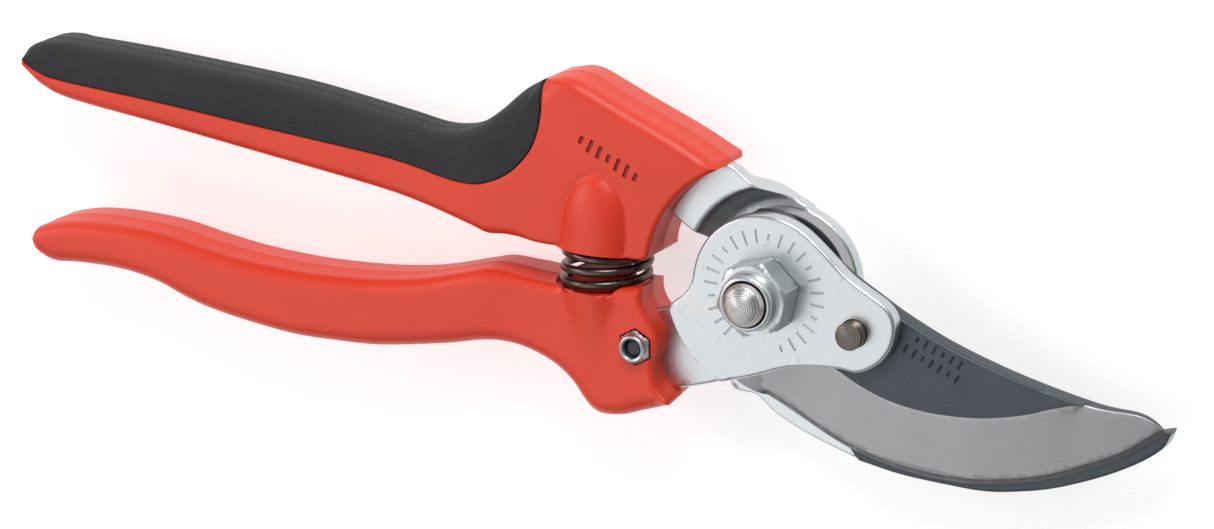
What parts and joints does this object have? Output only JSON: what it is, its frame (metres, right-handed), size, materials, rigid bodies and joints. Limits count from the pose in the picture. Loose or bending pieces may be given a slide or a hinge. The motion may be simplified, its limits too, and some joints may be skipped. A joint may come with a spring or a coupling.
{
  "type": "pruning shears",
  "caption": "One-handed bypass pruning shears with a curved cutting blade, a hooked counter-blade, a coil return spring and two moulded handles, one with a soft grip.",
  "frame": {"origin": "on the pivot axis, on the flat outer face of the pivot bolt's head", "axes": "+X towards the blade tips, +Y towards the handle that carries the hooked counter-blade, +Z along the pivot bolt from its head to its nut"},
  "size_m": [0.2299, 0.0604, 0.0289],
  "materials": {
    "red_nylon": "satin, fine moulded grain",
    "black_elastomer": "matt, fine stipple",
    "zinc": "bright zinc plate",
    "dark_steel": "dark steel, ground bevels",
    "pin_steel": "dark turned steel",
    "bronze": "dark bronze coated spring steel",
    "nylon": "smooth"
  },
  "bodies": {
    "upper": {"upper_handle": "red_nylon", "grip_overmould": "black_elastomer", "counter_plate": "zinc", "counter_blade": "dark_steel", "counter_pin": "pin_steel", "pivot_bolt": "zinc", "pivot_nut": "zinc", "pivot_nut_insert": "nylon", "return_spring": "bronze"},
    "lower": {"lower_handle": "red_nylon", "blade_plate": "zinc", "cutting_blade": "dark_steel", "blade_pin": "pin_steel", "handle_screw": "zinc", "handle_nut": "zinc", "handle_nut_insert": "nylon"}
  },
  "joints": [
    {"name": "handle_pivot", "type": "hinge", "parent": "upper", "child": "lower", "pos_m": [0, 0, 0.0115], "axis": [0, 0, 1], "range_deg": [0, 24], "stiffness_Nm_per_rad": 1.5, "springref_deg": 38.39, "deforming": ["return_spring"]}
  ]
}
